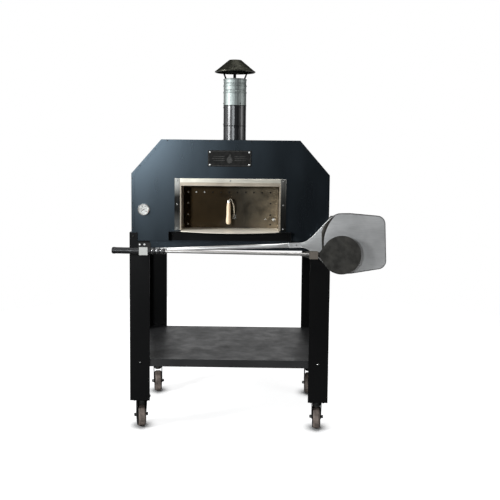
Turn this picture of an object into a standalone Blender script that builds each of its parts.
"""Wood fired pizza oven on a wheeled steel stand, with its two peels on their hooks.

Metres, +Z up, the oven's mouth faces -Y. The pieces are drawn in the stand's own
coordinates: X = 0 on the stand's centre line, Y = 0 on the front faces of its legs, Z = 0
on the floor. The empty oven_origin then shifts them all, so that the world's origin lies
on the floor under the middle of the whole object, peels included.
"""

from math import atan2, copysign, cos, pi, radians, sin, sqrt

import bmesh
import bpy
from mathutils import Matrix, Vector

# ---------------------------------------------------------------- driving dimensions
GAP = 0.0003              # between pieces that touch

STAND_HALF_WIDTH = 0.530  # outer faces of the legs
STAND_DEPTH = 0.753
LEG_SHEET = 0.003
LEG_FACE = 0.106          # width of a leg's front or back face
LEG_FLANGE = 0.100        # depth of a leg's side face
LEG_TAB = 0.042           # narrow tab that holds the oven body
LEG_BOTTOM = 0.166
FRAME_TOP = 1.031
TAB_TOP = 1.075
FRAME_WEB = 0.045
FRAME_FLANGE = 0.040
SHELF_TOP = 0.394
SHELF_LIP = 0.041
SHELF_SHEET = 0.002

BODY_HALF_WIDTH = 0.520
BODY_TOP = 1.565
BODY_FLAT_HALF = 0.363    # half of the flat top between the two slopes
BODY_SHOULDER = 1.3855    # where a side wall meets its slope
BODY_FRONT = 0.0036
BODY_BACK = 0.7474
SHELL_SHEET = 0.0015
SHELL_RIM = 0.015         # the shell's folded rim in front of the panels
PANEL_SHEET = 0.002

HEARTH = 1.088            # level of the cooking floor
THROAT_HALF = 0.258
THROAT_TOP = 1.324
THROAT_END = 0.160
TRIM_INNER = 0.2645
TRIM_OUTER = 0.2925
TRIM_LOW_EDGE = 1.341
TRIM_TOP = 1.3625
TRIM_SHEET = 0.003
LANDING_REACH = 0.100     # how far the landing stands out at its middle
LANDING_END_REACH = 0.030
LANDING_SHEET = 0.0025
BRACKET_HALF = 0.3196
BRACKET_BOTTOM = 1.0355
BRACKET_REACH = 0.040

VAULT_HALF = 0.455
VAULT_SPRING = 1.200
VAULT_CROWN = 1.505
VAULT_FRONT = 0.163
VAULT_BACK = 0.720
BOARD_TOP = 1.056

FLUE_X, FLUE_Y = 0.0097, 0.320
FLUE_RADIUS = 0.0635
FLUE_WALL = 0.0015
FLUE_SOCKET = 0.035       # length of the plain end that enters the next section
FLUE_JOINTS = (1.6452, 1.7583, 1.904)
COWL_RIM = 0.112
COWL_RIM_Z = 1.947
COWL_TOP = 2.011
COWL_TOP_RADIUS = 0.034

DOOR_FACE = 0.150         # Y of the door's front
DOOR_LEFT, DOOR_RIGHT = -0.2525, 0.2545
DOOR_TOP = 1.316
DOOR_SHEET = 0.0015
SHUTTER_PIVOT = (0.188, 1.1363)
SHUTTER_PIN = 0.0020
GRIP_X, GRIP_Y = -0.012, 0.100
GRIP_LOW, GRIP_HIGH = 1.113, 1.228

GAUGE_X, GAUGE_Z = -0.4539, 1.1965
GAUGE_RADIUS = 0.031
PLATE_X, PLATE_Z = -0.005, 1.468
PLATE_WIDTH, PLATE_HEIGHT = 0.227, 0.085

HOOK_LEFT_X, HOOK_RIGHT_X = -0.4393, 0.4340
HOOK_LEFT_FLOOR, HOOK_RIGHT_FLOOR = 0.9718, 0.9610
HOOK_LEFT_TIP, HOOK_RIGHT_TIP = 1.0125, 1.0012
HOOK_BACK_TOP = 1.022
HOOK_WIDTH = 0.044
HOOK_EAR = 0.024
HOOK_SHEET = 0.002
HOOK_REACH = 0.118

TURN_Y = -0.0975          # the turning peel hangs in front
TURN_TILT = radians(0.577)
TURN_BUTT = (-0.6035, 0.9925)
TURN_LENGTH = 1.2830
TURN_DISC = 0.1005
TURN_GRIP = 0.2735
TURN_ROD = 0.008
TURN_TANG = (0.955, 1.012, 1.054, 1.066, 1.071)  # stations of the flattened tang and neck
TURN_TANG_HALF = 0.0185
LARGE_Y = -0.066          # the large peel hangs behind it
LARGE_TILT = radians(-2.617)
LARGE_BUTT = (-0.520, 0.9856)
LARGE_LENGTH = 1.3291
LARGE_NECK = 0.890        # from the butt to where the blade flares
LARGE_FLARE = 0.210
LARGE_SLEEVE = 0.130
PEEL_REACH = 0.8121       # X of the large blade's far edge
LARGE_HALF_BLADE = 0.158
LARGE_HALF_TALL, LARGE_HALF_THICK = 0.011, 0.0085

WHEEL_RADIUS = 0.0625
WHEEL_WIDTH = 0.038
CASTER_TRAIL = 0.030
CASTER_PLATE = 0.003
KING_PIN, AXLE = 0.0061, 0.0048  # radii
RUNNING = 0.0001                 # radial clearance of turning fits
CASTER_YAWS = {"front_left": 15.0, "front_right": -3.0, "back_left": 190.0, "back_right": 172.0}

# the world's origin is under the middle of the box round everything
ORIGIN_X = -(PEEL_REACH + TURN_BUTT[0]) / 2
ORIGIN_Y = -(STAND_DEPTH - HOOK_REACH) / 2


# ---------------------------------------------------------------- scene and materials
for old in list(bpy.data.objects):
    bpy.data.objects.remove(old)


def material(name, colour, roughness, metallic):
    made = bpy.data.materials.new(name)
    made.use_nodes = True
    shader = made.node_tree.nodes["Principled BSDF"]
    shader.inputs["Base Color"].default_value = (*colour, 1.0)
    shader.inputs["Roughness"].default_value = roughness
    shader.inputs["Metallic"].default_value = metallic
    return made


COATED = material("powder_coat", (0.012, 0.013, 0.016), 0.35, 0.0)
STAINLESS = material("stainless", (0.56, 0.53, 0.48), 0.28, 1.0)
GALVANISED = material("galvanised", (0.52, 0.55, 0.55), 0.35, 1.0)
HEAT_PAINT = material("heat_paint", (0.02, 0.02, 0.022), 0.3, 0.0)
COWL_STEEL = material("cowl_steel", (0.08, 0.08, 0.06), 0.5, 0.6)
FIREBRICK = material("firebrick", (0.62, 0.48, 0.34), 0.95, 0.0)
WOOL = material("ceramic_wool", (0.80, 0.78, 0.72), 1.0, 0.0)
ZINC = material("zinc", (0.50, 0.50, 0.48), 0.4, 1.0)
FORK_STEEL = material("fork_steel", (0.05, 0.045, 0.04), 0.45, 0.8)
TYRE = material("tyre", (0.10, 0.08, 0.065), 0.8, 0.0)
BRONZE = material("bronze_plate", (0.05, 0.045, 0.04), 0.4, 0.7)
DIAL_WHITE = material("dial_white", (0.85, 0.85, 0.82), 0.6, 0.0)
NEEDLE_BLACK = material("needle_black", (0.01, 0.01, 0.01), 0.5, 0.0)
GLASS = material("gauge_glass", (0.9, 0.93, 0.93), 0.05, 0.0)
BEECH = material("beech", (0.70, 0.48, 0.28), 0.5, 0.0)
PEEL_ALLOY = material("peel_aluminium", (0.60, 0.60, 0.59), 0.35, 1.0)
DARK_STEEL = material("heat_stained_steel", (0.09, 0.085, 0.08), 0.5, 0.9)
GRIP_BLACK = material("grip_black", (0.012, 0.012, 0.012), 0.45, 0.0)

ORIGIN = bpy.data.objects.new("oven_origin", None)
ORIGIN.location = (ORIGIN_X, ORIGIN_Y, 0.0)
bpy.context.collection.objects.link(ORIGIN)


def empty(name, location, rotation=(0.0, 0.0, 0.0), parent=ORIGIN):
    made = bpy.data.objects.new(name, None)
    made.location = location
    made.rotation_euler = rotation
    made.parent = parent
    bpy.context.collection.objects.link(made)
    return made


# ---------------------------------------------------------------- modelling helpers
def finish(name, mesh_data, look, parent=ORIGIN, at=(0.0, 0.0, 0.0), smooth=False):
    """Make an object of a bmesh; its points are relative to `at` in the parent's frame."""
    mesh = bpy.data.meshes.new(name)
    mesh_data.to_mesh(mesh)
    mesh_data.free()
    made = bpy.data.objects.new(name, mesh)
    made.parent = parent
    made.location = at
    if look:
        mesh.materials.append(look)
    if smooth:
        mesh.shade_smooth()
        mesh.set_sharp_from_angle(angle=radians(40))
    bpy.context.collection.objects.link(made)
    return made


def box(name, low, high, look, bevel=0.0, **place):
    made = bmesh.new()
    size = [h - l for l, h in zip(low, high)]
    middle = [(h + l) / 2 for l, h in zip(low, high)]
    bmesh.ops.create_cube(made, size=1.0, matrix=Matrix.Translation(middle) @ Matrix.Diagonal((*size, 1)))
    piece = finish(name, made, look, **place)
    if bevel:
        add_bevel(piece, bevel)
    return piece


def add_bevel(piece, width, segments=1):
    edge = piece.modifiers.new("edge", "BEVEL")
    edge.width = width
    edge.segments = segments
    edge.limit_method = "ANGLE"
    edge.angle_limit = radians(40)


ON_PLANE = {
    "XZ": lambda a, b, c: (a, c, b),
    "YZ": lambda a, b, c: (c, a, b),
    "XY": lambda a, b, c: (a, b, c),
}


def prism(name, outline, plane, low, high, look, smooth=False, **place):
    """Extrude a closed outline, drawn on a plane, from low to high along the third axis."""
    spot = ON_PLANE[plane]
    made = bmesh.new()
    ends = [[made.verts.new(spot(a, b, c)) for a, b in outline] for c in (low, high)]
    made.faces.new(ends[0])
    made.faces.new(reversed(ends[1]))
    for i in range(len(outline)):
        j = (i + 1) % len(outline)
        made.faces.new((ends[0][i], ends[1][i], ends[1][j], ends[0][j]))
    bmesh.ops.recalc_face_normals(made, faces=made.faces)
    return finish(name, made, look, smooth=smooth, **place)


def lathe(name, profile, look, axis="Z", segments=32, **place):
    """Turn a closed (radius, height) profile about an axis; points at radius 0 are on it."""
    made = bmesh.new()
    turn = {"Z": Matrix(), "Y": Matrix.Rotation(-pi / 2, 4, "X"), "X": Matrix.Rotation(pi / 2, 4, "Y")}[axis]
    rings = []
    for radius, height in profile:
        count = segments if radius else 1
        angles = [2 * pi * i / segments for i in range(count)]
        rings.append([made.verts.new(turn @ Vector((radius * cos(a), radius * sin(a), height))) for a in angles])
    closed = profile[0][0] > 0
    pairs = list(zip(rings, rings[1:])) + ([(rings[-1], rings[0])] if closed else [])
    for one, two in pairs:
        for i in range(segments):
            j = (i + 1) % segments
            corners = [one[i % len(one)], one[j % len(one)], two[j % len(two)], two[i % len(two)]]
            made.faces.new(list(dict.fromkeys(corners)))
    bmesh.ops.recalc_face_normals(made, faces=made.faces)
    return finish(name, made, look, smooth=True, **place)


def offset_line(points, width):
    """Shift an open polyline to its left by width, mitred at its corners."""
    lines = []
    for (ax, ay), (bx, by) in zip(points, points[1:]):
        length = sqrt((bx - ax) ** 2 + (by - ay) ** 2)
        nx, ny = -(by - ay) / length, (bx - ax) / length
        lines.append(((ax + nx * width, ay + ny * width), (bx - ax, by - ay)))
    moved = [lines[0][0]]
    for ((ax, ay), (adx, ady)), ((bx, by), (bdx, bdy)) in zip(lines, lines[1:]):
        t = ((bx - ax) * bdy - (by - ay) * bdx) / (adx * bdy - ady * bdx)
        moved.append((ax + t * adx, ay + t * ady))
    (x, y), (dx, dy) = lines[-1]
    return moved + [(x + dx, y + dy)]


def strip(name, path, thickness, plane, low, high, look, **place):
    """A flat bar bent along a path: the path, thickened to its left, extruded."""
    outline = path + offset_line(path, thickness)[::-1]
    return prism(name, outline, plane, low, high, look, **place)


def folded_sheet(name, polygons, thickness, look, away_from=None, towards=None, **place):
    """Sheet metal: flat faces joined along their folds, thickened on the side away from their normals."""
    made = bmesh.new()
    for polygon in polygons:
        made.faces.new([made.verts.new(p) for p in polygon])
    bmesh.ops.remove_doubles(made, verts=made.verts, dist=1e-5)
    made.normal_update()
    for face in made.faces:
        middle = face.calc_center_median()
        outward = middle - Vector(away_from) if away_from else Vector(towards) - middle
        if face.normal.dot(outward) < 0:
            face.normal_flip()
    piece = finish(name, made, look, **place)
    solid = piece.modifiers.new("sheet", "SOLIDIFY")
    solid.thickness = thickness
    solid.offset = -1.0
    solid.solidify_mode = "NON_MANIFOLD"
    solid.nonmanifold_thickness_mode = "CONSTRAINTS"
    return piece


def boolean(target, tool, operation="DIFFERENCE"):
    tool.hide_render = True
    tool.display_type = "WIRE"
    change = target.modifiers.new(operation.lower(), "BOOLEAN")
    change.operation = operation
    change.solver = "EXACT"
    change.object = tool


def box_faces(low, high, keep):
    """The faces of a box that `keep` names, such as '-x+z', as polygons."""
    (x0, y0, z0), (x1, y1, z1) = low, high
    faces = {
        "-x": [(x0, y0, z0), (x0, y1, z0), (x0, y1, z1), (x0, y0, z1)],
        "+x": [(x1, y0, z0), (x1, y1, z0), (x1, y1, z1), (x1, y0, z1)],
        "-y": [(x0, y0, z0), (x1, y0, z0), (x1, y0, z1), (x0, y0, z1)],
        "+y": [(x0, y1, z0), (x1, y1, z0), (x1, y1, z1), (x0, y1, z1)],
        "-z": [(x0, y0, z0), (x1, y0, z0), (x1, y1, z0), (x0, y1, z0)],
        "+z": [(x0, y0, z1), (x1, y0, z1), (x1, y1, z1), (x0, y1, z1)],
    }
    return [faces[keep[i:i + 2]] for i in range(0, len(keep), 2)]


def arc(centre, radius, start, end, count):
    """Points on a circle from start to end, in degrees, both ends included."""
    steps = [radians(start + (end - start) * i / count) for i in range(count + 1)]
    return [(centre[0] + radius * cos(a), centre[1] + radius * sin(a)) for a in steps]


# ---------------------------------------------------------------- stand
def leg(name, side, back):
    """An angle of folded sheet: a face, a side flange, both narrowed to a tab at the top, and a foot."""
    sy = -1 if back else 1

    def at(x, y, z):
        return (side * (STAND_HALF_WIDTH - x), (STAND_DEPTH if back else 0.0) + sy * y, z)

    low, wide, top = LEG_BOTTOM, FRAME_TOP, TAB_TOP
    face = [(0, low), (LEG_FACE, low), (LEG_FACE, wide), (LEG_TAB, wide), (LEG_TAB, top), (0, top)]
    flange = [(0, low), (LEG_FLANGE, low), (LEG_FLANGE, wide), (LEG_TAB, wide), (LEG_TAB, top), (0, top)]
    foot = [(0, 0), (LEG_FACE, 0), (LEG_FACE - 0.012, LEG_FLANGE), (0, LEG_FLANGE)]
    polygons = [
        [at(x, 0, z) for x, z in face],
        [at(0, y, z) for y, z in flange],
        [at(x, y, low) for x, y in foot],
    ]
    folded_sheet(name, polygons, LEG_SHEET, COATED, away_from=at(0.05, 0.05, 0.6))


def build_stand():
    for side, hand in ((-1, "left"), (1, "right")):
        for back, end in ((False, "front"), (True, "back")):
            leg(f"leg_{end}_{hand}", side, back)

    inner = STAND_HALF_WIDTH - LEG_SHEET - GAP
    front, rear = LEG_SHEET + GAP, STAND_DEPTH - LEG_SHEET - GAP
    low, high = (-inner, front, FRAME_TOP - FRAME_WEB), (inner, rear, FRAME_TOP)
    outer = [(-inner, front), (inner, front), (inner, rear), (-inner, rear)]
    inset = FRAME_FLANGE
    hole = [(-inner + inset, front + inset), (inner - inset, front + inset),
            (inner - inset, rear - inset), (-inner + inset, rear - inset)]
    ring = []
    for i in range(4):
        j = (i + 1) % 4
        ring.append([(*outer[i], FRAME_TOP), (*outer[j], FRAME_TOP), (*hole[j], FRAME_TOP), (*hole[i], FRAME_TOP)])
    middle = (0, STAND_DEPTH / 2, FRAME_TOP - 0.1)
    folded_sheet("top_frame", box_faces(low, high, "-x+x-y+y") + ring, LEG_SHEET, COATED, away_from=middle)

    low, high = (-inner, front, SHELF_TOP - SHELF_LIP), (inner, rear, SHELF_TOP)
    middle = (0, STAND_DEPTH / 2, SHELF_TOP - 0.03)
    folded_sheet("lower_shelf", box_faces(low, high, "-x+x-y+y+z"), SHELF_SHEET, COATED, away_from=middle)


# ---------------------------------------------------------------- casters
def caster(name, x, y, yaw):
    """Top plate, and a fork, wheel and axle that swivel under it; the wheel trails the swivel."""
    plate_top = LEG_BOTTOM - GAP
    plate_low = plate_top - CASTER_PLATE
    plate = box(f"caster_plate_{name}", (-0.044, -0.038, plate_low), (0.044, 0.038, plate_top), ZINC, at=(x, y, 0))
    eye = lathe(f"cut_king_{name}", [(0, 0.1), (KING_PIN + RUNNING, 0.1), (KING_PIN + RUNNING, 0.2), (0, 0.2)], None,
                segments=24, at=(x, y, 0))
    boolean(plate, eye)

    swivel = empty(f"swivel_{name}", (x, y, 0), (0, 0, radians(yaw)))
    crown_top = plate_low - GAP
    crown_low = crown_top - 0.010
    inner, outer = WHEEL_WIDTH / 2 + 0.004, WHEEL_WIDTH / 2 + 0.0075
    axle_z = WHEEL_RADIUS
    arm = [(-0.026, crown_top), (-0.026, crown_low - 0.012), (CASTER_TRAIL - 0.011, axle_z - 0.004)]
    arm += arc((CASTER_TRAIL, axle_z), 0.013, 200, 340, 5)
    arm += [(0.036, crown_low - 0.006), (0.030, crown_top)]
    fork = prism(f"caster_fork_{name}", arm, "YZ", -outer, outer, FORK_STEEL, parent=swivel)
    slot = box(f"cut_slot_{name}", (-inner, -0.1, 0.0), (inner, 0.1, crown_top - 0.004), None, parent=swivel)
    bore = AXLE + RUNNING
    hole = lathe(f"cut_axle_{name}", [(0, -0.05), (bore + GAP, -0.05), (bore + GAP, 0.05), (0, 0.05)], None, "X", 28,
                 parent=swivel, at=(0, CASTER_TRAIL, axle_z))
    king = lathe(f"join_king_{name}", [(0, crown_top - 0.002), (KING_PIN, crown_top - 0.002),
                                       (KING_PIN, plate_top - 0.0002), (0, plate_top - 0.0002)], None,
                 segments=24, parent=swivel)
    boolean(fork, slot)
    boolean(fork, hole)
    boolean(fork, king, "UNION")

    half = WHEEL_WIDTH / 2
    tread = arc((WHEEL_RADIUS - 0.008, half - 0.008), 0.008, 80, 0, 2)
    profile = [(bore, -half - 0.002), (0.013, -half - 0.002), (0.013, -half + 0.007), (0.040, -half + 0.007),
               (0.044, -half)]
    profile += [(r, -z) for r, z in tread] + tread[::-1]
    profile += [(0.044, half), (0.040, half - 0.007), (0.013, half - 0.007), (0.013, half + 0.002),
                (bore, half + 0.002)]
    lathe(f"caster_wheel_{name}", profile, TYRE, "X", 28, parent=swivel, at=(0, CASTER_TRAIL, axle_z))
    end = outer + GAP
    bolt = [(0, -end - 0.006), (0.0085, -end - 0.006), (0.0085, -end), (AXLE, -end),
            (AXLE, end), (0.0085, end), (0.0085, end + 0.006), (0, end + 0.006)]
    lathe(f"caster_axle_{name}", bolt, ZINC, "X", 28, parent=swivel, at=(0, CASTER_TRAIL, axle_z))


def build_casters():
    across = STAND_HALF_WIDTH - LEG_SHEET - 0.0515
    for name, yaw in CASTER_YAWS.items():
        x = -across if "left" in name else across
        y = 0.050 if "front" in name else STAND_DEPTH - 0.050
        caster(name, x, y, yaw)


# ---------------------------------------------------------------- oven body
def body_profile(inset, bottom):
    """The eight-sided section of the body, open at the bottom, from left foot to right foot."""
    points = [(-BODY_HALF_WIDTH, bottom), (-BODY_HALF_WIDTH, BODY_SHOULDER), (-BODY_FLAT_HALF, BODY_TOP),
              (BODY_FLAT_HALF, BODY_TOP), (BODY_HALF_WIDTH, BODY_SHOULDER), (BODY_HALF_WIDTH, bottom)]
    return offset_line(points, -inset) if inset else points


def vault_profile(grow):
    """The chamber's section: straight foot walls and an elliptical arch."""
    across, rise = VAULT_HALF + grow, VAULT_CROWN - VAULT_SPRING + grow
    curve = [(across * cos(a), VAULT_SPRING + rise * sin(a)) for a in (pi * i / 18 for i in range(19))]
    foot = BOARD_TOP + GAP
    return [(across, foot)] + curve + [(-across, foot)]


def rim_faces(y, bottom):
    outer, inner = body_profile(0, bottom), body_profile(SHELL_RIM, bottom)
    return [[(*outer[i], y), (*outer[i + 1], y), (*inner[i + 1], y), (*inner[i], y)] for i in range(5)]


def build_shell():
    bottom = FRAME_TOP + GAP
    section = body_profile(0, bottom)
    walls = [[(a[0], BODY_FRONT, a[1]), (b[0], BODY_FRONT, b[1]), (b[0], BODY_BACK, b[1]), (a[0], BODY_BACK, a[1])]
             for a, b in zip(section, section[1:])]
    rims = [[(x, y, z) for x, z, y in face] for y_rim in (BODY_FRONT, BODY_BACK) for face in rim_faces(y_rim, bottom)]
    shell = folded_sheet("outer_shell", walls + rims, SHELL_SHEET, COATED, away_from=(0, STAND_DEPTH / 2, 1.2))
    flue_hole = lathe("cut_shell_flue", [(0, 1.50), (0.066, 1.50), (0.066, 1.60), (0, 1.60)], None,
                      at=(FLUE_X, FLUE_Y, 0))
    boolean(shell, flue_hole)

    outline = body_profile(SHELL_SHEET + GAP, bottom + GAP)
    front = BODY_FRONT + SHELL_SHEET + GAP
    panel = prism("front_panel", outline, "XZ", front, front + PANEL_SHEET, COATED)
    mouth = box("cut_mouth", (-0.262, -0.1, HEARTH - 0.003), (0.262, 0.1, THROAT_TOP + 0.003), None)
    gauge_hole = lathe("cut_gauge", [(0, -0.1), (0.0045, -0.1), (0.0045, 0.1), (0, 0.1)], None, "Y", 12,
                       at=(GAUGE_X, 0, GAUGE_Z))
    boolean(panel, mouth)
    boolean(panel, gauge_hole)
    back = BODY_BACK - SHELL_SHEET - GAP
    prism("back_panel", outline, "XZ", back - PANEL_SHEET, back, COATED)


def build_chamber():
    front, back = BODY_FRONT + 0.0045, BODY_BACK - 0.0045
    half = BODY_HALF_WIDTH - 0.004
    low, high = (-half, front, FRAME_TOP + GAP), (half, back, FRAME_TOP + 0.020)
    folded_sheet("base_pan", box_faces(low, high, "-x+x-y+y-z"), 0.002, GALVANISED,
                 away_from=(0, STAND_DEPTH / 2, FRAME_TOP + 0.015))
    box("base_insulation", (-half + 0.0025, front + 0.0025, FRAME_TOP + 0.0026),
        (half - 0.0025, back - 0.0025, BOARD_TOP), WOOL)

    # the stainless chamber: arch, back wall and a front wall round the throat, with the flue spigot welded in
    arch = vault_profile(0)
    walls = [[(a[0], VAULT_FRONT, a[1]), (b[0], VAULT_FRONT, b[1]), (b[0], VAULT_BACK, b[1]),
              (a[0], VAULT_BACK, a[1])] for a, b in zip(arch, arch[1:])]
    foot = arch[0][1]
    notch = [(-THROAT_HALF, foot), (-THROAT_HALF, THROAT_TOP), (THROAT_HALF, THROAT_TOP), (THROAT_HALF, foot)]
    ends = [[(x, VAULT_FRONT, z) for x, z in arch + notch], [(x, VAULT_BACK, z) for x, z in arch]]
    vault = folded_sheet("oven_vault", walls + ends, 0.002, STAINLESS, away_from=(0, 0.45, 1.19))
    spigot = FLUE_RADIUS - FLUE_WALL - 0.0015
    bore = lathe("cut_vault_flue", [(0, 1.40), (spigot - 0.001, 1.40), (spigot - 0.001, 1.70), (0, 1.70)], None,
                 at=(FLUE_X, FLUE_Y, 0))
    tube = lathe("join_spigot", [(spigot - 0.0016, 1.488), (spigot, 1.488), (spigot, 1.600),
                                 (spigot - 0.0016, 1.600)], None, at=(FLUE_X, FLUE_Y, 0))
    boolean(vault, bore)
    boolean(vault, tube, "UNION")

    # loose insulation fills everything between chamber and shell
    fill = prism("blanket_insulation", body_profile(0.0025, BOARD_TOP + GAP), "XZ", front, back, WOOL)
    room = prism("cut_room", [(x, z - 0.1 if z < 1.1 else z) for x, z in vault_profile(GAP)], "XZ",
                 VAULT_FRONT - GAP, VAULT_BACK + GAP, None)
    throat = box("cut_throat", (-0.2602, -0.1, 1.0), (0.2602, 0.2, THROAT_TOP + 0.0023), None)
    flue = lathe("cut_fill_flue", [(0, 1.45), (0.0645, 1.45), (0.0645, 1.65), (0, 1.65)], None,
                 at=(FLUE_X, FLUE_Y, 0))
    probe = lathe("cut_probe", [(0, -0.1), (0.0045, -0.1), (0.0045, 0.075), (0, 0.075)], None, "Y", 12,
                  at=(GAUGE_X, 0, GAUGE_Z))
    for tool in (room, throat, flue, probe):
        boolean(fill, tool)

    inside = VAULT_HALF - 0.0025
    box("hearth_slab", (-inside, VAULT_FRONT + 0.0025, BOARD_TOP + GAP), (inside, VAULT_BACK - 0.0025, HEARTH),
        FIREBRICK)
    box("throat_sill", (-0.256, front + 0.002, BOARD_TOP + GAP),
        (0.256, VAULT_FRONT - GAP, HEARTH - LANDING_SHEET - GAP), FIREBRICK)


def build_throat():
    # lining of the mouth, with a flange in front of the panel that the trims cover
    low, high = (-THROAT_HALF, BODY_FRONT, HEARTH + 0.0005), (THROAT_HALF, THROAT_END, THROAT_TOP)
    side, up = 0.024, 0.030
    x, z0, z1, y = THROAT_HALF, low[2], THROAT_TOP, BODY_FRONT
    flange = [
        [(-x - side, y, z0), (-x, y, z0), (-x, y, z1), (-x - side, y, z1 + up)],
        [(x, y, z0), (x + side, y, z0), (x + side, y, z1 + up), (x, y, z1)],
        [(-x, y, z1), (x, y, z1), (x + side, y, z1 + up), (-x - side, y, z1 + up)],
    ]
    folded_sheet("throat_liner", box_faces(low, high, "-x+x+z") + flange, 0.0015, STAINLESS,
                 towards=(0, -1.0, 1.15))

    front = BODY_FRONT - GAP
    for name, side in (("trim_left", -1), ("trim_right", 1)):
        a, b = sorted((side * TRIM_INNER, side * TRIM_OUTER))
        box(name, (a, front - TRIM_SHEET, HEARTH + 0.0005), (b, front, TRIM_TOP), STAINLESS, bevel=0.0007)
    inside = TRIM_INNER - GAP
    box("trim_top", (-inside, front - TRIM_SHEET, TRIM_LOW_EDGE), (inside, front, TRIM_TOP), STAINLESS,
        bevel=0.0007)

    # landing: a plate that runs back into the throat, its front edge one wide arc
    half = THROAT_HALF - 0.0015
    sagitta = LANDING_REACH - LANDING_END_REACH
    radius = (half ** 2 + sagitta ** 2) / (2 * sagitta)
    centre = (0.0, radius - LANDING_REACH)
    swing = 90 - atan2(centre[1] + LANDING_END_REACH, half) * 180 / pi
    outline = arc(centre, radius, 270 - swing, 270 + swing, 20)
    outline += [(half, THROAT_END), (-half, THROAT_END)]
    prism("landing_plate", outline, "XY", HEARTH - LANDING_SHEET, HEARTH, STAINLESS)
    low = (-BRACKET_HALF, -BRACKET_REACH, BRACKET_BOTTOM)
    high = (BRACKET_HALF, BODY_FRONT + 0.0015, HEARTH - LANDING_SHEET - GAP)
    folded_sheet("landing_bracket", box_faces(low, high, "-x+x+y+z"), 0.0015, COATED, away_from=(0, -0.02, 1.06))


# ---------------------------------------------------------------- flue
def flue_section(name, low, high, look, grooves=()):
    """A pipe whose lower end is drawn in to enter the section below; grooves are rolled into it."""
    outer, wall = FLUE_RADIUS, FLUE_WALL
    plain = outer - wall - 0.0005
    outside = [(outer, low)]
    inside = [(outer - wall, low + 0.002)]
    for z in grooves:
        for dz, depth in ((-0.004, 0), (-0.0015, 0.0012), (0.0015, 0.0012), (0.004, 0)):
            outside.append((outer - depth, z + dz))
            inside.append((outer - wall - depth, z + dz))
    outside.append((outer, high))
    inside.append((outer - wall, high))
    entering = [(plain - wall, low - FLUE_SOCKET), (plain, low - FLUE_SOCKET), (plain, low)]
    lathe(name, entering + outside + inside[::-1] + [(plain - wall, low)], look, at=(FLUE_X, FLUE_Y, 0))


def build_flue():
    seam, joint, top = FLUE_JOINTS
    foot = BODY_TOP + GAP
    outer, inner = FLUE_RADIUS, FLUE_RADIUS - FLUE_WALL
    collar = [(inner, foot), (outer + 0.022, foot), (outer + 0.022, foot + FLUE_WALL), (outer, foot + FLUE_WALL),
              (outer, seam - GAP), (inner, seam - GAP)]
    lathe("flue_collar", collar, HEAT_PAINT, at=(FLUE_X, FLUE_Y, 0))
    flue_section("flue_middle", seam, joint - GAP, HEAT_PAINT)
    flue_section("flue_upper", joint, top, GALVANISED, grooves=(1.842, 1.880))

    # cowl: a band inside the pipe's mouth carries three flat struts that lean out to the cone
    band = lathe("cowl_struts", [(0.0604, 1.886), (0.0617, 1.886), (0.0617, 1.907), (0.0604, 1.907)], COWL_STEEL,
                 at=(FLUE_X, FLUE_Y, 0))
    for i, angle in enumerate((-90, 30, 150)):
        arm = [(0.0586, 1.888), (0.0610, 1.888), (0.0610, 1.9075), (0.0860, 1.9650), (0.0838, 1.9650),
               (0.0586, 1.908)]
        piece = prism(f"join_strut_{i}", arm, "XZ", -0.008, 0.008, None, at=(FLUE_X, FLUE_Y, 0))
        piece.rotation_euler = (0, 0, radians(angle))
        boolean(band, piece, "UNION")
    slope = (COWL_TOP - COWL_RIM_Z) / (COWL_RIM - COWL_TOP_RADIUS)
    drop = 0.0012 * sqrt(1 + slope ** 2)
    cone = [(0, COWL_TOP), (COWL_TOP_RADIUS, COWL_TOP), (COWL_RIM - 0.001, COWL_RIM_Z + 0.0008),
            (COWL_RIM, COWL_RIM_Z - 0.0008), (COWL_RIM - 0.0012, COWL_RIM_Z - 0.0030),
            (COWL_RIM - 0.0032, COWL_RIM_Z - 0.0024), (COWL_RIM - 0.0034, COWL_RIM_Z + 0.0024 - drop + 0.0003),
            (COWL_TOP_RADIUS, COWL_TOP - drop), (0, COWL_TOP - drop)]
    lathe("cowl_cone", cone, COWL_STEEL, at=(FLUE_X, FLUE_Y, 0), segments=36)


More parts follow.
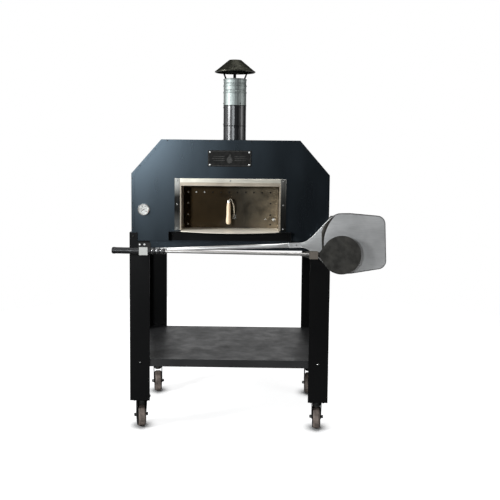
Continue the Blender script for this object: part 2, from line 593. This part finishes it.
# ---------------------------------------------------------------- door
def build_door():
    """The loose door stands in the throat; its origin is the middle of its foot."""
    door = empty("door_frame", (0, DOOR_FACE, HEARTH))
    left, right, low, top = DOOR_LEFT, DOOR_RIGHT, 0.0005, DOOR_TOP - HEARTH
    faces = box_faces((left, 0, low), (right, 0.012, top), "-x+x-y-z+z")
    panel = folded_sheet("door_panel", faces, DOOR_SHEET, STAINLESS, away_from=(0, 0.5, 0.12), parent=door)
    inset = DOOR_SHEET + GAP
    core = box("door_core", (left + inset, inset, low + inset), (right - inset, 0.020, top - inset), GALVANISED,
               parent=door)
    vent_x, vent_z = 0.2146, SHUTTER_PIVOT[1] - HEARTH
    holes = (("vent", vent_x, 0.008), ("pivot", SHUTTER_PIVOT[0], SHUTTER_PIN + RUNNING))
    for piece in (panel, core):
        for use, x, radius in holes:
            hole = lathe(f"cut_{use}_{piece.name}", [(0, -0.05), (radius, -0.05), (radius, 0.05), (0, 0.05)], None,
                         "Y", 16, parent=door, at=(x, 0, vent_z))
            boolean(piece, hole)

    # shutter: a small plate with a knob that swings about its pivot, in front of the vent
    pivot = empty("shutter_axis", (SHUTTER_PIVOT[0], 0, vent_z), parent=door)
    outline = arc((0, 0), 0.009, 90, 270, 6) + arc((0.046, 0), 0.013, -90, 90, 8)
    plate = prism("vent_shutter", outline, "XZ", -0.0018, -GAP, STAINLESS, parent=pivot)
    knob = lathe("join_knob", [(0, -0.013), (0.0075, -0.012), (0.0095, -0.009), (0.0095, -0.006), (0.004, -0.004),
                               (0.004, -0.0010), (0, -0.0010)], None, "Y", 16, parent=pivot, at=(0.046, 0, 0))
    pin = lathe("join_pin", [(0, -0.0010), (SHUTTER_PIN, -0.0010), (SHUTTER_PIN, 0.010), (0, 0.010)], None, "Y", 16,
                parent=pivot)
    boolean(plate, knob, "UNION")
    boolean(plate, pin, "UNION")

    # handle: a bent rod from a foot on the door, up and out, into the wooden grip that hangs from it
    foot = Vector((0.0167, -0.0003, 1.1508 - HEARTH))
    head = Vector((GRIP_X, GRIP_Y - DOOR_FACE, GRIP_HIGH - HEARTH))
    route = bezier_route([foot + Vector((0, -0.002, 0)), foot + Vector((0.001, -0.030, 0.012)),
                          head + Vector((0.030, 0.004, 0.040)), head + Vector((0, 0, 0.038)),
                          head + Vector((0, 0, 0.002))], 18)
    bracket = swept_rod("door_handle_bracket", route, 0.0035, STAINLESS, door)
    pad = box("join_pad", (foot.x - 0.010, -0.0033, foot.z - 0.013), (foot.x + 0.010, -0.0003, foot.z + 0.013),
              None, parent=door)
    ferrule = lathe("join_ferrule", [(0, 0.0008), (0.0095, 0.0008), (0.0085, 0.014), (0.0050, 0.018), (0, 0.018)],
                    None, "Z", 16, parent=door, at=head)
    boolean(bracket, pad, "UNION")
    boolean(bracket, ferrule, "UNION")
    length = GRIP_HIGH - GRIP_LOW
    waist = [(0.00, 0.0085), (0.10, 0.0098), (0.30, 0.0108), (0.55, 0.0112), (0.78, 0.0132), (0.90, 0.0136),
             (0.97, 0.0110), (1.00, 0.0060)]
    profile = [(0, 0)] + [(r, -t * length) for t, r in waist] + [(0, -length)]
    lathe("door_handle_grip", profile, BEECH, "Z", 20, parent=door, at=head)


def bezier_route(handles, count):
    """Points on one smooth Bezier curve over all the handles."""
    points = []
    for step in range(count + 1):
        t = step / count
        level = list(handles)
        while len(level) > 1:
            level = [a.lerp(b, t) for a, b in zip(level, level[1:])]
        points.append(level[0])
    return points


def swept_rod(name, points, radius, look, parent):
    """A round rod along points, as a mesh tube with flat ends."""
    made = bmesh.new()
    sides = 10
    rings = []
    side = Vector((1, 0, 0))
    for i, point in enumerate(points):
        ahead = (points[min(i + 1, len(points) - 1)] - points[max(i - 1, 0)]).normalized()
        side = (side - ahead * side.dot(ahead)).normalized()
        other = ahead.cross(side)
        angles = [2 * pi * k / sides for k in range(sides)]
        rings.append([made.verts.new(point + side * radius * cos(a) + other * radius * sin(a)) for a in angles])
    for one, two in zip(rings, rings[1:]):
        for i in range(sides):
            j = (i + 1) % sides
            made.faces.new((one[i], one[j], two[j], two[i]))
    made.faces.new(rings[0])
    made.faces.new(rings[-1])
    bmesh.ops.recalc_face_normals(made, faces=made.faces)
    return finish(name, made, look, parent=parent, smooth=True)


# ---------------------------------------------------------------- fittings
def build_gauge():
    """Dial thermometer: case with probe, dial, needle on its arbor and glass."""
    centre = (GAUGE_X, 0.0, GAUGE_Z)
    r = GAUGE_RADIUS
    back = BODY_FRONT + SHELL_SHEET
    case = [(0, 0.070), (0.003, 0.070), (0.003, back), (r - 0.003, back), (r, back - 0.003), (r, -0.0075),
            (r - 0.001, -0.0090), (r - 0.0030, -0.0090), (r - 0.0035, -0.0075), (r - 0.0035, 0.0010), (0, 0.0010)]
    lathe("gauge_case", case, STAINLESS, "Y", 32, at=centre)
    inner = r - 0.0035 - GAP
    lathe("gauge_dial", [(0.0016, 0.0000), (inner, 0.0000), (inner, 0.0007), (0.0016, 0.0007)], DIAL_WHITE, "Y", 32,
          at=centre)
    lathe("gauge_lens", [(0, -0.0070), (inner, -0.0070), (inner, -0.0056), (0, -0.0056)], GLASS, "Y", 32, at=centre)
    pointer = [(-0.0010, -0.0080), (0.0010, -0.0080), (0.0012, 0.0), (0.0004, 0.0220), (-0.0004, 0.0220),
               (-0.0012, 0.0)]
    needle = prism("gauge_needle", pointer, "XZ", -0.0030, -0.0022, NEEDLE_BLACK, at=centre)
    needle.rotation_euler = (0, radians(-127), 0)
    arbor = lathe("join_arbor", [(0, -0.0040), (0.0024, -0.0040), (0.0024, -0.0018), (0.0015, -0.0018),
                                 (0.0015, 0.0006), (0, 0.0006)], None, "Y", 16, at=centre)
    boolean(needle, arbor, "UNION")


def build_nameplate():
    half_w, half_h = PLATE_WIDTH / 2, PLATE_HEIGHT / 2
    front = BODY_FRONT + SHELL_SHEET
    box("nameplate", (-half_w, front - 0.003, -half_h), (half_w, front, half_h), BRONZE, bevel=0.0008,
        at=(PLATE_X, 0, PLATE_Z))


def build_hooks():
    """Two J-shaped straps screwed to the front legs; the peels lie in them."""
    hooks = (("hook_left", HOOK_LEFT_X, HOOK_LEFT_FLOOR, HOOK_LEFT_TIP),
             ("hook_right", HOOK_RIGHT_X, HOOK_RIGHT_FLOOR, HOOK_RIGHT_TIP))
    for name, x, floor, tip in hooks:
        path = [(-HOOK_REACH, tip), (-HOOK_REACH, floor), (-GAP, floor), (-GAP, HOOK_BACK_TOP)]
        hook = strip(name, path, HOOK_SHEET, "YZ", x - HOOK_WIDTH / 2, x + HOOK_WIDTH / 2, STAINLESS)
        # the back plate runs on outwards, past the trough, where its two screws go
        outwards = x + copysign(HOOK_WIDTH / 2 + HOOK_EAR, x)
        ear = box(f"join_ear_{name}", (min(x, outwards), -GAP - HOOK_SHEET, floor + 0.020),
                  (max(x, outwards), -GAP, HOOK_BACK_TOP), None)
        boolean(hook, ear, "UNION")


# ---------------------------------------------------------------- peels
def build_turning_peel():
    """Small round peel: black grip, long rod and a drop-shaped disc on a tang, drawn along its own X."""
    axis = empty("turning_peel_axis", (TURN_BUTT[0], TURN_Y, TURN_BUTT[1]), (0, TURN_TILT, 0))
    start, wide, shoulder, pinch, neck = TURN_TANG
    centre = TURN_LENGTH - TURN_DISC
    tangent = 90 - 180 / pi * atan2(TURN_DISC, sqrt((centre - pinch) ** 2 - TURN_DISC ** 2))
    upper = [(start, 0.0060), (start + 0.018, 0.0085), (wide, TURN_TANG_HALF), (shoulder, TURN_TANG_HALF),
             (pinch, 0.0115), (neck, 0.0155)]
    disc = arc((centre, 0.0), TURN_DISC, 180 - tangent, tangent - 180, 40)
    outline = upper + disc + [(x, -z) for x, z in upper[::-1]]
    prism("turning_peel_blade", outline, "XZ", -0.0010, 0.0010, DARK_STEEL, parent=axis)

    # the rod's end is slotted to take the tang
    inside, tip = TURN_GRIP - 0.060, wide + 0.004
    rod = lathe("turning_peel_rod", [(0, inside), (TURN_ROD, inside), (TURN_ROD, start), (TURN_ROD - 0.002, tip),
                                     (0, tip)], STAINLESS, "X", 16, parent=axis)
    slot = box("cut_tang", (start - GAP, -0.0010 - GAP, -0.02), (tip + 0.01, 0.0010 + GAP, 0.02), None, parent=axis)
    boolean(rod, slot)

    grip, bore, end = 0.0165, TURN_ROD + GAP, TURN_GRIP
    profile = [(0, 0), (grip - 0.003, 0), (grip, 0.003), (grip, end - 0.080)]
    for i in range(3):
        groove = end - 0.075 + i * 0.024
        profile += [(grip, groove), (grip - 0.0025, groove + 0.004), (grip - 0.0025, groove + 0.014),
                    (grip, groove + 0.018)]
    profile += [(grip, end - 0.004), (grip - 0.002, end), (bore, end), (bore, end - 0.062), (0, end - 0.062)]
    lathe("turning_peel_grip", profile, GRIP_BLACK, "X", 20, parent=axis)


def large_outline(neck):
    """Upper edge of the blade from neck to tip, as (along, half width): flare, taper and a round corner."""
    points = []
    for i in range(15):
        t = i / 14
        points.append((LARGE_NECK + t * LARGE_FLARE, neck + (LARGE_HALF_BLADE - neck) * t * t * (3 - 2 * t)))
    corner, end_half = 0.042, 0.139
    points.append((LARGE_NECK + LARGE_FLARE + 0.050, LARGE_HALF_BLADE - 0.001))
    return points + arc((LARGE_LENGTH - corner, end_half - corner), corner, 84, 0, 6)


def large_section(grow, squash=1.0, shift=0.0, spread=1.0):
    """Points (y, z) round the handle's flat-oval section."""
    thick, tall = (LARGE_HALF_THICK + grow) * squash, (LARGE_HALF_TALL + grow) * spread
    return [(shift + thick * sin(2 * pi * i / 16), tall * cos(2 * pi * i / 16)) for i in range(16)]


def build_large_peel():
    """Large aluminium peel: flat-oval handle with a black sleeve, and a flat blade riveted to it."""
    axis = empty("large_peel_axis", (LARGE_BUTT[0], LARGE_Y, LARGE_BUTT[1]), (0, LARGE_TILT, 0))
    neck = 0.0125
    upper = [(LARGE_NECK - 0.060, neck)] + large_outline(neck)
    outline = upper + [(x, -z) for x, z in upper[::-1]]
    prism("large_peel_blade", outline, "XZ", -0.0018, 0.0, PEEL_ALLOY, parent=axis)

    # the handle is flattened behind the blade, where the rivets go through
    start, end, flat = 0.012, LARGE_NECK + 0.004, 0.30
    behind = GAP + LARGE_HALF_THICK * flat
    made = bmesh.new()
    rings = []
    for x, section in ((start, large_section(0)), (end - 0.120, large_section(0)),
                       (end - 0.072, large_section(0, flat, behind, 1.08)),
                       (end, large_section(0, flat, behind, 1.08))):
        rings.append([made.verts.new((x, y, z)) for y, z in section])
    for one, two in zip(rings, rings[1:]):
        for i in range(len(one)):
            j = (i + 1) % len(one)
            made.faces.new((one[i], one[j], two[j], two[i]))
    made.faces.new(rings[0])
    made.faces.new(rings[-1])
    bmesh.ops.recalc_face_normals(made, faces=made.faces)
    finish("large_peel_handle", made, PEEL_ALLOY, parent=axis, smooth=True)

    sleeve = prism("large_peel_grip", large_section(0.003), "YZ", 0.0, LARGE_SLEEVE, GRIP_BLACK, smooth=True,
                   parent=axis)
    bore = prism("cut_sleeve", large_section(GAP), "YZ", start - GAP, LARGE_SLEEVE + 0.01, None, parent=axis)
    boolean(sleeve, bore)


# ---------------------------------------------------------------- whole object
build_stand()
build_casters()
build_shell()
build_chamber()
build_throat()
build_flue()
build_door()
build_gauge()
build_nameplate()
build_hooks()
build_turning_peel()
build_large_peel()
bpy.context.view_layer.update()
